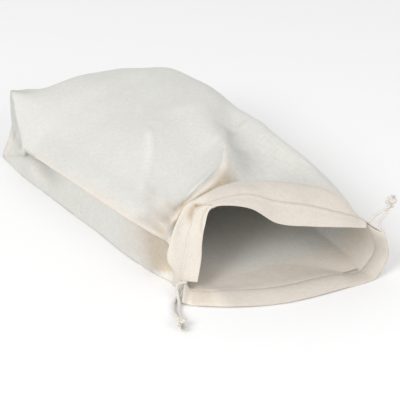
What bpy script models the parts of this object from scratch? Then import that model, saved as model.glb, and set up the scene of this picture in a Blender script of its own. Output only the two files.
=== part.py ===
"""A cotton bread bag with two drawcords, lying on its back in its filled shape, mouth open.

The bag is one length of cloth, folded at the closed end, sewn up both sides and across the two
corners of the closed end, and hemmed into a channel at the mouth. The length runs along Y with
the mouth towards -Y, the near side is -X, and the bag rests on Z = 0.
"""

from collections import namedtuple
from math import exp

import bmesh
import bpy
from mathutils import Vector

MM = 0.001

CLOTH = 1.4 * MM
CORD = 3.2 * MM

# Distances measured on the flat cloth from the closed end to each section of the filled bag
SECTIONS = {
    "base": 0,
    "corner": 28,
    "tuck": 58,
    "back": 103,
    "middle": 153,
    "bulge": 205,
    "brow": 281,
    "roll": 299,
    "gap": 314,
    "ridge": 344,
    "band": 358,
    "stitch": 372,
    "edge": 391,
}

# Rows of mesh between one section and the next
ROWS_BETWEEN = (4, 4, 4, 4, 5, 9, 4, 4, 6, 3, 3, 3)

TOP_COLUMNS = {
    "near_seam": 0,
    "near_flare": 14,
    "near_wall": 38,
    "near_shoulder": 72,
    "near_crown": 110,
    "crown": 148,
    "far_crown": 186,
    "far_shoulder": 222,
    "far_wall": 256,
    "far_flare": 280,
    "far_seam": 294,
}

BOTTOM_COLUMNS = {
    "near_seam": 0,
    "near_under": 14,
    "near_wall": 32,
    "near_floor": 50,
    "floor_near": 100,
    "floor_mid": 155,
    "floor_far": 210,
    "far_floor": 256,
    "far_wall": 272,
    "far_under": 286,
    "far_seam": 298,
}

# Faces across each side of a panel, from the seam to the line of the base's corner, and between
SIDE_FACES = 5
MIDDLE_FACES = 22
BASE_CORNER_COLUMNS = {"top": ("near_wall", "far_wall"), "bottom": ("near_floor", "far_floor")}

BASE_SAG = 6 * MM

Fold = namedtuple("Fold", "height left right lean fade_in fade_out route")

# Ridges (height above 0) and troughs (below 0) of the upper layer: millimetres across and
# outwards, the shares of the route over which they start and end, and the route on the cloth.
# Left and right are the two flanks of a route that is followed from its first point.
TOP_FOLDS = (
    Fold(6, 9, 9, 0, 0.30, 0.40, (
        (4, -36, 88), (18, -26, 88), (32, -8, 88), (42, 16, 90), (52, 44, 92), (62, 74, 92),
    )),
    Fold(-7, 12, 14, 0, 0.30, 0.40, (
        (20, -44, 76), (34, -30, 76), (46, -10, 78), (56, 14, 82), (64, 40, 86), (72, 66, 88),
    )),
)

# Side seams, in millimetres, one point for each section
NEAR_SEAM = {
    "base": (-107, 260, 40),
    "corner": (-107, 236, 37),
    "tuck": (-117, 206, 34),
    "back": (-115, 160, 37.5),
    "middle": (-112, 110, 41.5),
    "bulge": (-108, 58, 44),
    "brow": (-100, -26, 48),
    "roll": (-94, -58, 48),
    "gap": (-86, -73, 41),
    "ridge": (-88, -88, 16),
    "band": (-88, -95, 11),
    "stitch": (-85, -99, 10),
}
FAR_SEAM = {
    "base": (103, 214, 28),
    "corner": (106, 206, 32),
    "tuck": (114, 187, 36),
    "back": (125, 151, 40),
    "middle": (127, 110, 42),
    "bulge": (124, 56, 44),
    "brow": (121, 14, 47),
    "roll": (120, -4, 48),
    "gap": (115, -62, 51),
    "ridge": (99, -142, 55),
    "band": (95, -158, 57),
    "stitch": (91, -171, 60),
}

# The upper layer between its seams, in millimetres: one row for each section
TOP = {
    "base": (
        (-106, 261, 62), (-101, 262, 84), (-62, 269, 74), (-30, 268, 70), (3, 262, 65),
        (36, 250, 60), (66, 238, 55), (92, 222, 52), (98, 218, 40),
    ),
    "corner": (
        (-109, 234, 58), (-96, 234, 79), (-64, 239, 86), (-30, 239, 92), (5, 237, 92),
        (38, 231, 89), (70, 220, 78), (92, 212, 64), (101, 208, 47),
    ),
    "tuck": (
        (-113, 205, 46), (-98, 204, 66), (-66, 204, 87), (-28, 204, 99), (8, 204, 101),
        (44, 201, 101), (77, 195, 95), (100, 190, 72), (110, 188, 53),
    ),
    "back": (
        (-104, 160, 48), (-91, 160, 65), (-62, 160, 85), (-24, 160, 97), (16, 160, 102),
        (54, 158, 103), (87, 157, 97), (110, 154, 75), (117, 152, 53),
    ),
    "middle": (
        (-100, 110, 54), (-87, 110, 70), (-58, 110, 87), (-20, 110, 97), (20, 110, 101),
        (58, 110, 101), (91, 110, 94), (112, 110, 75), (119, 110, 54),
    ),
    "bulge": (
        (-96, 58, 58), (-83, 58, 74), (-55, 58, 89), (-18, 60, 98), (18, 62, 99),
        (50, 62, 94), (80, 58, 84), (101, 56, 84), (115, 56, 60),
    ),
    "brow": (
        (-90, -32, 61), (-77, -44, 69), (-58, -48, 74), (-34, -42, 82), (0, -30, 88),
        (27, -6, 89), (66, 20, 79), (102, 20, 84), (113, 18, 62),
    ),
    "roll": (
        (-91, -62, 60), (-81, -68, 65), (-63, -62, 76), (-38, -54, 85), (-4, -41, 90),
        (25, -19, 87), (66, 2, 76), (101, 2, 82), (112, 0, 61),
    ),
    "gap": (
        (-84, -71, 50), (-76, -69, 54), (-63, -65, 61), (-43, -58, 72), (-2, -55, 74),
        (34, -46, 69), (74, -48, 69), (98, -56, 79), (109, -60, 65),
    ),
    "ridge": (
        (-95, -88, 29), (-90, -83, 45), (-77, -76, 62), (-55, -67, 76), (-14, -74, 87),
        (20, -95, 91), (48, -114, 88), (75, -134, 81), (90, -142, 70),
    ),
    "band": (
        (-90, -93, 28), (-84, -88, 43), (-72, -81, 58), (-51, -74, 74), (-11, -87, 89),
        (17, -110, 89), (42, -130, 85), (66, -150, 78), (82, -157, 69),
    ),
    "stitch": (
        (-80, -97, 27), (-73, -92, 43), (-65, -86, 60), (-47, -80, 77), (-10, -99, 85),
        (12, -125, 81), (34, -145, 79), (58, -162, 73), (75, -168, 67),
    ),
    "edge": (
        (-67, -105, 29), (-61, -98, 46), (-55, -94, 63), (-40, -88, 78), (-12, -110, 78),
        (2, -140, 71), (28, -160, 69), (54, -173, 66), (70, -178, 63),
    ),
}
TOP_EDGE_ENDS = ((-77, -114, 14), (84, -181, 60))

# The lower layer between its seams
BOTTOM = {
    "base": (
        (-112, 260, 27), (-118, 260, 13), (-123, 260, 0), (-70, 256, 0), (-5, 246, 0),
        (55, 232, 0), (104, 214, 0), (105, 214, 10), (104, 214, 19),
    ),
    "corner": (
        (-116, 235, 24), (-121, 233, 11), (-123, 234, 0), (-70, 234, 0), (-5, 228, 0),
        (55, 218, 0), (106, 206, 0), (108, 206, 11), (107, 206, 22),
    ),
    "tuck": (
        (-118, 204, 26), (-113, 205, 13), (-124, 206, 0), (-66, 205, 0), (-5, 200, 0),
        (52, 192, 0), (106, 186, 0), (113, 186, 13), (115, 187, 25),
    ),
    "back": (
        (-106, 160, 30), (-109, 160, 14), (-119, 160, 0), (-64, 160, 0), (-5, 158, 0),
        (55, 155, 0), (109, 152, 0), (118, 151, 14), (120, 151, 28),
    ),
    "middle": (
        (-101, 110, 35), (-105, 110, 16), (-115, 110, 0), (-62, 110, 0), (-5, 110, 0),
        (55, 110, 0), (109, 110, 0), (119, 110, 15), (121, 110, 30),
    ),
    "bulge": (
        (-97, 58, 38), (-101, 58, 17), (-108, 58, 0), (-60, 58, 0), (-5, 58, 0),
        (52, 58, 0), (107, 57, 0), (117, 57, 16), (118, 56, 31),
    ),
    "brow": (
        (-91, -26, 42), (-96, -26, 19), (-102, -26, 0), (-58, -20, 0), (-5, -10, 0),
        (52, 2, 0), (104, 10, 0), (114, 12, 17), (116, 13, 34),
    ),
    "roll": (
        (-87, -58, 42), (-91, -58, 19), (-97, -57, 0), (-57, -50, 0), (-5, -38, 0),
        (52, -22, 0), (103, -10, 0), (113, -8, 17), (115, -6, 35),
    ),
    "gap": (
        (-84, -76, 31), (-86, -77, 15), (-91, -78, 0), (-55, -76, 0), (-5, -74, 0),
        (50, -70, 0), (101, -66, 0), (112, -64, 18), (115, -63, 36),
    ),
    "ridge": (
        (-88, -90, 10), (-89, -91, 5), (-89, -93, 0), (-55, -104, 0), (-6, -116, 0),
        (50, -126, 0), (97, -132, 0), (108, -135, 20), (106, -138, 39),
    ),
    "band": (
        (-87, -99, 6), (-84, -102, 3), (-79, -106, 1), (-54, -119, 2), (-9, -137, 3),
        (50, -149, 2), (94, -156, 1), (106, -156, 20), (102, -157, 41),
    ),
    "stitch": (
        (-83, -107, 4), (-78, -113, 3), (-72, -119, 3), (-52, -134, 6), (-10, -158, 7),
        (52, -170, 6), (93, -175, 4), (106, -174, 21), (100, -173, 42),
    ),
    "edge": (
        (-96, -127, 2), (-90, -132, 1), (-83, -138, 1), (-50, -160, 1), (-5, -179, 1),
        (55, -190, 1), (94, -194, 3), (108, -192, 21), (104, -193, 40),
    ),
}
BOTTOM_EDGE_ENDS = ((-101, -122, 3), (97, -194, 56))


# Routes of the drawcords' strands from the ends of the channels to the knots, in millimetres
CORD_ROUTES = {
    "drawcord_left_upper": (
        (-84.5, -105, 11.5), (-88.5, -104, 12), (-93, -103, 11), (-97, -106.5, 9), (-99, -111, 7),
        (-101.5, -117, 4), (-105, -124, 2.1), (-110, -132, 2.1), (-114.6, -141.2, 4.6),
        (-116.4, -146.3, 5.4),
    ),
    "drawcord_left_lower": (
        (-93.6, -106.4, 6), (-96.5, -108, 3.6), (-100.5, -110, 2.1), (-107, -116.5, 2.1),
        (-112, -123.5, 2.1), (-116, -132, 2.5), (-117.9, -139.6, 4.6), (-119.7, -144.9, 5.4),
    ),
    "drawcord_right_upper": (
        (90.5, -176.5, 61.5), (97, -174.5, 63.5), (104, -173, 65), (111, -174.5, 68),
        (116.6, -175.6, 71), (119.9, -173.5, 71.3),
    ),
    "drawcord_right_lower": (
        (99, -189, 57.8), (99.3, -184, 59.2), (103, -180, 60), (108.5, -178, 62),
        (113.5, -177, 65), (116.6, -175.6, 67.2), (119.9, -173.5, 67.5),
    ),
}
CORD_POINT_SPACING = 2 * CORD

# Each knot: where the strands enter it, and the way its frayed ends point
KNOTS = {
    "knot_left": ((-118.4, -146.8, 5.5), (-0.36, -0.93, -0.05)),
    "knot_right": ((120.6, -173, 69.5), (0.82, 0.56, 0.1)),
}

# Outline of a knot and its tuft: distance from where the strands enter, and radius
KNOT_OUTLINE = (
    (0, 0), (0, 3.5), (1.4, 4.5), (4.2, 5.1), (7.2, 4.4), (8.8, 2.9), (10.4, 2.6),
    (13.4, 3.1), (17, 3.7), (17.4, 0),
)
KNOT_SIDES = 16

CLOTH_COLOUR = (0.80, 0.76, 0.69)
CORD_COLOUR = (0.78, 0.74, 0.68)


def hermite(points, knots, at):
    """Return the point at one distance along a smooth curve through points at their knots."""
    last = len(points) - 1
    start = 0
    while start < last - 1 and at > knots[start + 1]:
        start += 1
    span = knots[start + 1] - knots[start]
    share = (at - knots[start]) / span

    def slope(index):
        if index == 0:
            return (points[1] - points[0]) / (knots[1] - knots[0])
        if index == last:
            return (points[last] - points[last - 1]) / (knots[last] - knots[last - 1])
        before = knots[index] - knots[index - 1]
        after = knots[index + 1] - knots[index]
        rise_before = (points[index] - points[index - 1]) / before
        rise_after = (points[index + 1] - points[index]) / after
        return (rise_before * after + rise_after * before) / (before + after)

    square = share * share
    cube = square * share
    return (
        points[start] * (2 * cube - 3 * square + 1)
        + slope(start) * (span * (cube - 2 * square + share))
        + points[start + 1] * (3 * square - 2 * cube)
        + slope(start + 1) * (span * (cube - square))
    )


def layer_rows(table, edge_ends):
    """Join each section's points to its seam points, as lists of vectors in metres."""
    rows = []
    for section in SECTIONS:
        if section == "edge":
            ends = edge_ends
        else:
            ends = (NEAR_SEAM[section], FAR_SEAM[section])
        points = (ends[0],) + table[section] + (ends[1],)
        rows.append([Vector(point) * MM for point in points])
    return rows


def steps_along():
    """Distances of every mesh row from the closed end, in millimetres."""
    marks = list(SECTIONS.values())
    steps = [marks[0]]
    for index, count in enumerate(ROWS_BETWEEN):
        width = marks[index + 1] - marks[index]
        steps += [marks[index] + width * (step + 1) / count for step in range(count)]
    return steps


def steps_across(columns, corners):
    """Distances of every mesh column from the near seam, in millimetres."""
    near, far = (columns[name] for name in corners)
    end = columns["far_seam"]
    steps = [near * step / SIDE_FACES for step in range(SIDE_FACES)]
    steps += [near + (far - near) * step / MIDDLE_FACES for step in range(MIDDLE_FACES)]
    steps += [far + (end - far) * step / SIDE_FACES for step in range(SIDE_FACES + 1)]
    return steps


def layer_points(rows, columns, corners):
    """Work out the grid of points of one layer, row by row from the closed end."""
    knots = list(columns.values())
    marks = list(SECTIONS.values())
    lines = []
    for step in steps_across(columns, corners):
        column = [hermite(row, knots, step) for row in rows]
        lines.append([hermite(column, marks, along) for along in steps_along()])
    return [list(row) for row in zip(*lines)]


def outward(grid, row, column):
    """Return the direction out of the bag at one point of the upper layer."""
    last_row, last_column = len(grid) - 1, len(grid[0]) - 1
    across = grid[row][min(column + 1, last_column)] - grid[row][max(column - 1, 0)]
    along = grid[min(row + 1, last_row)][column] - grid[max(row - 1, 0)][column]
    return along.cross(across).normalized()


def route_points(route, pieces=6):
    """Smooth a fold's hand-chosen route, and give each point its share of the whole length."""
    points = [Vector(point) * MM for point in route]
    knots = [0.0]
    for before, after in zip(points, points[1:]):
        knots.append(knots[-1] + (after - before).length)
    count = (len(points) - 1) * pieces
    shares = [step / count for step in range(count + 1)]
    return [(hermite(points, knots, share * knots[-1]), share) for share in shares]


def nearest_on_route(point, route):
    """Return the closest place on a route: the way to the point, the direction and the share."""
    best = None
    for (start, share), (end, next_share) in zip(route, route[1:]):
        run = end - start
        along = max(0.0, min(1.0, (point - start).dot(run) / run.length_squared))
        offset = point - (start + run * along)
        if best is None or offset.length < best[0].length:
            best = (offset, run.normalized(), share + (next_share - share) * along)
    return best


def fold_layer(grid, folds):
    """Raise the ridges and press the troughs of the folds into a layer, one after another."""
    for fold in folds:
        route = route_points(fold.route)
        moved = [list(line) for line in grid]
        for row, line in enumerate(grid):
            for column, point in enumerate(line):
                offset, run, share = nearest_on_route(point, route)
                if offset.length > 3 * max(fold.left, fold.right) * MM:
                    continue
                normal = outward(grid, row, column)
                side = normal.cross(run).normalized()
                distance = offset.dot(side)
                width = (fold.left if distance > 0 else fold.right) * MM
                fade_in = smooth_step(share / fold.fade_in)
                fade_out = smooth_step((1 - share) / fold.fade_out)
                amount = exp(-(offset.length / width) ** 2) * fade_in * fade_out * MM
                moved[row][column] = point + normal * (fold.height * amount) + side * (fold.lean * amount)
        grid = moved
    return grid


def smooth_step(share):
    """Ease from 0 to 1."""
    share = max(0.0, min(1.0, share))
    return share * share * (3 - 2 * share)


def base_points(top, bottom):
    """Fill the upright base between its lower edge, its upper edge and the two corner seams."""
    sides = 2 * SIDE_FACES
    far = SIDE_FACES + MIDDLE_FACES
    near_edge = [bottom[0][SIDE_FACES - step] for step in range(SIDE_FACES)]
    near_edge += [top[0][step] for step in range(SIDE_FACES + 1)]
    far_edge = [bottom[0][far + step] for step in range(SIDE_FACES)]
    far_edge += [top[0][-1 - step] for step in range(SIDE_FACES + 1)]
    grid = []
    for step in range(sides + 1):
        up = step / sides
        line = []
        for column in range(MIDDLE_FACES + 1):
            over = column / MIDDLE_FACES
            low, high = bottom[0][SIDE_FACES + column], top[0][SIDE_FACES + column]
            edges = low * (1 - up) + high * up + near_edge[step] * (1 - over) + far_edge[step] * over
            corners = (near_edge[0] * (1 - over) + far_edge[0] * over) * (1 - up)
            corners += (near_edge[-1] * (1 - over) + far_edge[-1] * over) * up
            sag = BASE_SAG * 16 * up * (1 - up) * over * (1 - over)
            line.append(edges - corners - Vector((0, sag, 0)))
        grid.append(line)
    return grid


def add_grid(mesh, grid):
    """Add one grid of cloth to a mesh, with its points in place."""
    made = bmesh.ops.create_grid(mesh, x_segments=len(grid[0]) - 1, y_segments=len(grid) - 1, size=1)
    points = [point for line in grid for point in line]
    for vertex, point in zip(made["verts"], points):
        vertex.co = point


def cloth_layers():
    """Work out the two layers, with their seams shared as far as the channels."""
    top = layer_points(layer_rows(TOP, TOP_EDGE_ENDS), TOP_COLUMNS, BASE_CORNER_COLUMNS["top"])
    bottom = layer_points(layer_rows(BOTTOM, BOTTOM_EDGE_ENDS), BOTTOM_COLUMNS, BASE_CORNER_COLUMNS["bottom"])
    top = fold_layer(top, TOP_FOLDS)
    sewn_rows = len(top) - ROWS_BETWEEN[-1]
    for upper, lower in zip(top[:sewn_rows], bottom):
        lower[0], lower[-1] = upper[0].copy(), upper[-1].copy()
    for line in top + bottom:
        for point in line:
            point.z = max(point.z, 0.0)
    return top, bottom


def make_bag_body(collection):
    """Make the folded and sewn cloth of the bag as one open shell with its real thickness."""
    top, bottom = cloth_layers()
    mesh = bmesh.new()
    add_grid(mesh, top)
    add_grid(mesh, bottom)
    add_grid(mesh, base_points(top, bottom))
    bmesh.ops.remove_doubles(mesh, verts=mesh.verts, dist=0.00001)
    flat = [face for face in mesh.faces if all(vertex.co.z < 0.000001 for vertex in face.verts)]
    bmesh.ops.dissolve_faces(mesh, faces=flat)
    bmesh.ops.recalc_face_normals(mesh, faces=mesh.faces)
    body = new_object("bag_body", mesh, collection)
    solidify = body.modifiers.new("Cloth thickness", "SOLIDIFY")
    solidify.thickness = CLOTH
    solidify.offset = -1.0
    solidify.use_even_offset = False
    solidify.use_quality_normals = True
    body.data.shade_smooth()
    return body


def make_cord(name, route, collection):
    """Make one strand of a drawcord as a tube along its route."""
    points = [Vector(point) * MM for point in route]
    knots = [0.0]
    for before, after in zip(points, points[1:]):
        knots.append(knots[-1] + (after - before).length)
    count = round(knots[-1] / CORD_POINT_SPACING)
    data = bpy.data.curves.new(name, "CURVE")
    data.dimensions = "3D"
    data.bevel_depth = CORD / 2
    data.bevel_resolution = 2
    data.use_fill_caps = True
    spline = data.splines.new("POLY")
    spline.points.add(count)
    for step, point in enumerate(spline.points):
        point.co = (*hermite(points, knots, knots[-1] * step / count), 1.0)
    strand = bpy.data.objects.new(name, data)
    collection.objects.link(strand)
    return strand


def make_knot(name, start, direction, collection):
    """Make a knot and the frayed ends behind it as one turned form."""
    mesh = bmesh.new()
    outline = [mesh.verts.new((radius * MM, 0, along * MM)) for along, radius in reversed(KNOT_OUTLINE)]
    for upper, lower in zip(outline, outline[1:]):
        mesh.edges.new((upper, lower))
    knot = new_object(name, mesh, collection)
    screw = knot.modifiers.new("Turned outline", "SCREW")
    screw.steps = KNOT_SIDES
    screw.render_steps = KNOT_SIDES
    screw.use_merge_vertices = True
    screw.merge_threshold = 0.0001
    knot.location = Vector(start) * MM
    knot.rotation_euler = Vector(direction).to_track_quat("Z", "Y").to_euler()
    return knot


def make_material(name, colour, roughness):
    """Make a plain cotton finish."""
    material = bpy.data.materials.new(name)
    material.use_nodes = True
    shader = material.node_tree.nodes["Principled BSDF"]
    shader.inputs["Base Color"].default_value = (*colour, 1.0)
    shader.inputs["Roughness"].default_value = roughness
    shader.inputs["Metallic"].default_value = 0.0
    return material


def new_object(name, mesh, collection):
    """Turn a bmesh into a named object of the collection."""
    data = bpy.data.meshes.new(name)
    mesh.to_mesh(data)
    mesh.free()
    made = bpy.data.objects.new(name, data)
    collection.objects.link(made)
    return made


def main():
    """Clear the scene and build the bag."""
    for old in list(bpy.data.objects):
        bpy.data.objects.remove(old)
    collection = bpy.data.collections.new("cotton_bread_bag")
    bpy.context.scene.collection.children.link(collection)
    cloth = make_material("natural_cotton_cloth", CLOTH_COLOUR, 0.9)
    cord = make_material("cotton_cord", CORD_COLOUR, 0.85)
    make_bag_body(collection).data.materials.append(cloth)
    for name, route in CORD_ROUTES.items():
        make_cord(name, route, collection).data.materials.append(cord)
    for name, (start, direction) in KNOTS.items():
        make_knot(name, start, direction, collection).data.materials.append(cord)


if __name__ == "__main__":
    main()
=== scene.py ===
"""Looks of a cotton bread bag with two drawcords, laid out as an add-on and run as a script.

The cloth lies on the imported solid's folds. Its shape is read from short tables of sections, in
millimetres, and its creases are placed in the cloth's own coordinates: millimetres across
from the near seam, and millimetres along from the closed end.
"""

from collections import namedtuple
from math import cos, pi, radians, sin, tau
from random import Random

import bmesh
import bpy
import numpy as np
from bpy.props import FloatProperty, FloatVectorProperty, IntProperty, PointerProperty
from mathutils import Matrix, Quaternion, Vector


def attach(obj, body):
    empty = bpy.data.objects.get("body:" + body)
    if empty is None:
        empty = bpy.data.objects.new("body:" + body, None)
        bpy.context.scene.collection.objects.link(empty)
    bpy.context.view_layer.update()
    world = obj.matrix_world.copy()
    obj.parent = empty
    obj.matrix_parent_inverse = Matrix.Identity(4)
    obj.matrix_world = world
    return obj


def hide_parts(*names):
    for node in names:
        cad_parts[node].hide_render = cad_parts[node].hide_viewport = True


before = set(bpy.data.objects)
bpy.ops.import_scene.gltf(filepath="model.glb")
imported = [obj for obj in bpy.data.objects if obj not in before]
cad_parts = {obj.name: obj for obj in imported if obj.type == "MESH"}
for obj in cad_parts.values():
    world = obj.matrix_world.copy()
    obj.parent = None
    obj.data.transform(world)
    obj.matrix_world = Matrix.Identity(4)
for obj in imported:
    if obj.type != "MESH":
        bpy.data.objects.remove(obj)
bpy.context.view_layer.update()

bl_info = {
    "name": "Cotton Bread Bag",
    "version": (1, 0, 0),
    "blender": (4, 5, 0),
    "location": "View3D > Sidebar > Bread Bag",
    "description": "Builds a hemmed cotton bag with two knotted drawcords and its studio",
    "category": "Object",
}

MM = 0.001
# How the sidebar holds a colour
COLOUR = {"size": 3, "subtype": "COLOR"}
# Points closer than this, in millimetres, are one
CLOSE = 0.01

# Distances measured on the flat cloth from the closed end to each section of the filled bag
SECTIONS = {
    "base": 0, "corner": 28, "tuck": 58, "back": 103, "middle": 153, "bulge": 205, "brow": 281,
    "roll": 299, "gap": 314, "ridge": 344, "band": 358, "stitch": 372, "edge": 391,
}

# Distances across each layer from the near seam to the points of a section's row
TOP_COLUMNS = (0, 14, 38, 72, 110, 148, 186, 222, 256, 280, 294)
BOTTOM_COLUMNS = (0, 14, 32, 50, 100, 155, 210, 256, 272, 286, 298)

# Distances across each layer to the two corners of the boxed base, the faces beside each one, and
# how much closer together they are by the seams
BASE_CORNERS = {"top": (38, 256), "bottom": (50, 256)}
SIDE_FACES, SIDE_SPREAD = 20, 1.25
# Runs of faces between those corners: where each one stops, and its number of faces
MIDDLE_RUNS = {
    "top": ((102, 17), (122, 15), (178, 16), (200, 16), (256, 16)),
    "bottom": ((182, 48), (203, 16), (256, 16)),
}
MIDDLE_FACES = sum(faces for _, faces in MIDDLE_RUNS["top"])

# Boxed base: its height when flat, the faces up it, and how far its middle sags into the bag
BASE_HEIGHT = 84
BASE_FACES_UP = 2 * SIDE_FACES
BASE_SAG = 6

# Length of one row of faces along the cloth, from the given distance on
ROW_PITCH = (
    (0, 2), (64, 3.6), (153, 3.2), (236, 2.1), (290, 1.3), (314, 2.2), (336, 1.3), (352, 2.2), (376, 1.5))

# Side seams, one point for each section
NEAR_SEAM = (
    (-107, 260, 40), (-107, 236, 37), (-117, 206, 34), (-115, 160, 37.5), (-112, 110, 41.5),
    (-108, 58, 44), (-100, -26, 48), (-94, -58, 48), (-86, -73, 41), (-88, -88, 16),
    (-88, -95, 11), (-85, -99, 10))
FAR_SEAM = (
    (103, 214, 28), (106, 206, 32), (114, 187, 36), (125, 151, 40), (127, 110, 42),
    (124, 56, 44), (121, 14, 47), (120, -4, 48), (115, -62, 51), (99, -142, 55),
    (95, -158, 57), (91, -171, 60))

# The upper layer between its seams: the x, y and z of each section's row
TOP = {
    "base": ((-106, -101, -62, -30, 3, 36, 66, 92, 98), (261, 262, 269, 268, 262, 250, 238, 222, 218),
        (62, 84, 74, 70, 65, 60, 55, 52, 40)),
    "corner": ((-109, -96, -64, -30, 5, 38, 70, 92, 101), (234, 234, 239, 239, 237, 231, 220, 212, 208),
        (58, 79, 86, 92, 92, 89, 78, 64, 47)),
    "tuck": ((-113, -98, -66, -28, 8, 44, 77, 100, 110), (205, 204, 204, 204, 204, 201, 195, 190, 188),
        (46, 66, 87, 99, 101, 101, 95, 72, 53)),
    "back": ((-104, -91, -62, -24, 16, 54, 87, 110, 117), (160, 160, 160, 160, 160, 158, 157, 154, 152),
        (48, 65, 85, 97, 102, 103, 97, 75, 53)),
    "middle": ((-100, -87, -58, -20, 20, 58, 91, 112, 119), (110,) * 9,
        (54, 70, 87, 97, 101, 101, 94, 75, 54)),
    "bulge": ((-96, -83, -55, -18, 18, 50, 80, 101, 115), (58, 58, 58, 60, 62, 62, 58, 56, 56),
        (58, 74, 89, 98, 99, 94, 84, 84, 60)),
    "brow": ((-90, -77, -58, -34, 0, 27, 66, 102, 113), (-32, -44, -48, -42, -30, -6, 20, 20, 18),
        (61, 69, 74, 82, 88, 89, 79, 84, 62)),
    "roll": ((-91, -81, -63, -38, -4, 25, 66, 101, 112), (-62, -68, -62, -54, -41, -19, 2, 2, 0),
        (60, 65, 76, 85, 90, 87, 76, 82, 61)),
    "gap": ((-84, -76, -63, -43, -2, 34, 74, 98, 109), (-71, -69, -65, -58, -55, -46, -48, -56, -60),
        (50, 54, 61, 72, 74, 69, 69, 79, 65)),
    "ridge": ((-95, -90, -77, -55, -14, 20, 48, 75, 90), (-88, -83, -76, -67, -74, -95, -114, -134, -142),
        (29, 45, 62, 76, 87, 91, 88, 81, 70)),
    "band": ((-90, -84, -72, -51, -11, 17, 42, 66, 82), (-93, -88, -81, -74, -87, -110, -130, -150, -157),
        (28, 43, 58, 74, 89, 89, 85, 78, 69)),
    "stitch": ((-80, -73, -65, -47, -10, 12, 34, 58, 75), (-97, -92, -86, -80, -99, -125, -145, -162, -168),
        (27, 43, 60, 77, 85, 81, 79, 73, 67)),
    "edge": ((-67, -61, -55, -40, -12, 2, 28, 54, 70), (-105, -98, -94, -88, -110, -140, -160, -173, -178),
        (29, 46, 63, 78, 78, 71, 69, 66, 63)),
}
TOP_EDGE_ENDS = ((-77, -114, 14), (84, -181, 60))

# The lower layer between its seams, in the same way
BOTTOM = {
    "base": ((-112, -118, -123, -70, -5, 55, 104, 105, 104), (260, 260, 260, 256, 246, 232, 214, 214, 214),
        (27, 13, 0, 0, 0, 0, 0, 10, 19)),
    "corner": ((-116, -121, -123, -70, -5, 55, 106, 108, 107),
        (235, 233, 234, 234, 228, 218, 206, 206, 206), (24, 11, 0, 0, 0, 0, 0, 11, 22)),
    "tuck": ((-118, -113, -124, -66, -5, 52, 106, 113, 115), (204, 205, 206, 205, 200, 192, 186, 186, 187),
        (26, 13, 0, 0, 0, 0, 0, 13, 25)),
    "back": ((-106, -109, -119, -64, -5, 55, 109, 118, 120), (160, 160, 160, 160, 158, 155, 152, 151, 151),
        (30, 14, 0, 0, 0, 0, 0, 14, 28)),
    "middle": ((-101, -105, -115, -62, -5, 55, 109, 119, 121), (110,) * 9,
        (35, 16, 0, 0, 0, 0, 0, 15, 30)),
    "bulge": ((-97, -101, -108, -60, -5, 52, 107, 117, 118), (58, 58, 58, 58, 58, 58, 57, 57, 56),
        (38, 17, 0, 0, 0, 0, 0, 16, 31)),
    "brow": ((-91, -96, -102, -58, -5, 52, 104, 114, 116), (-26, -26, -26, -20, -10, 2, 10, 12, 13),
        (42, 19, 0, 0, 0, 0, 0, 17, 34)),
    "roll": ((-87, -91, -97, -57, -5, 52, 103, 113, 115), (-58, -58, -57, -50, -38, -22, -10, -8, -6),
        (42, 19, 0, 0, 0, 0, 0, 17, 35)),
    "gap": ((-84, -86, -91, -55, -5, 50, 101, 112, 115), (-76, -77, -78, -76, -74, -70, -66, -64, -63),
        (31, 15, 0, 0, 0, 0, 0, 18, 36)),
    "ridge": ((-88, -89, -89, -55, -6, 50, 97, 108, 106),
        (-90, -91, -93, -104, -116, -126, -132, -135, -138), (10, 5, 0, 0, 0, 0, 0, 20, 39)),
    "band": ((-87, -84, -79, -54, -9, 50, 94, 106, 102),
        (-99, -102, -106, -119, -137, -149, -156, -156, -157), (6, 3, 1, 2, 3, 2, 1, 20, 41)),
    "stitch": ((-83, -78, -72, -52, -10, 52, 93, 106, 100),
        (-107, -113, -119, -134, -158, -170, -175, -174, -173), (4, 3, 3, 6, 7, 6, 4, 21, 42)),
    "edge": ((-96, -90, -83, -50, -5, 55, 94, 108, 104),
        (-127, -132, -138, -160, -179, -190, -194, -192, -193), (2, 1, 1, 1, 1, 1, 3, 21, 40)),
}
BOTTOM_EDGE_ENDS = ((-101, -122, 3), (97, -194, 56))

# Each layer: its rows, the ends of its edge, its columns, and 1 where its outer side is up
LAYERS = {
    "top": (TOP, TOP_EDGE_ENDS, TOP_COLUMNS, 1),
    "bottom": (BOTTOM, BOTTOM_EDGE_ENDS, BOTTOM_COLUMNS, -1),
}

# A ridge (height above 0) or trough (below 0): height, the widths of its left and right flanks,
# how pointed its crest is (4 is flat, 2 is soft, 1 is sharp), the shares of the route over which
# it starts and ends, how much warmer it makes the cloth (the warmer tone of doubled cloth, and
# painted warm bounce light in folds and, above 1, deep in creases), how much painted shade it adds
# (below 0, painted light), and its route in cloth coordinates, as distances across and along.
# Distances across are below 0 on the lower layer.
Fold = namedtuple("Fold", "height left right crest start end warmth shade route")

# Steps from one point of a route to the next
ROUTE_STEPS = 8
# Lines that two folds follow: the boxed corner's flap, the start of the roll, the top of the arch
FLAP_EDGE = ((38, -1), (24, 14), (18, 22), (13, 34), (9, 48), (1, 61))
ROLL_START = (
    (190, 266), (187, 280), (179, 290), (168, 297), (143, 302), (120, 306.5), (101, 306.5), (80, 304),
    (63, 302), (46, 300), (31, 305),
)
ARCH_TOP = ((118, 342), (133, 345), (160, 346), (186, 346), (218, 346), (247, 346), (275, 351))

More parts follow.
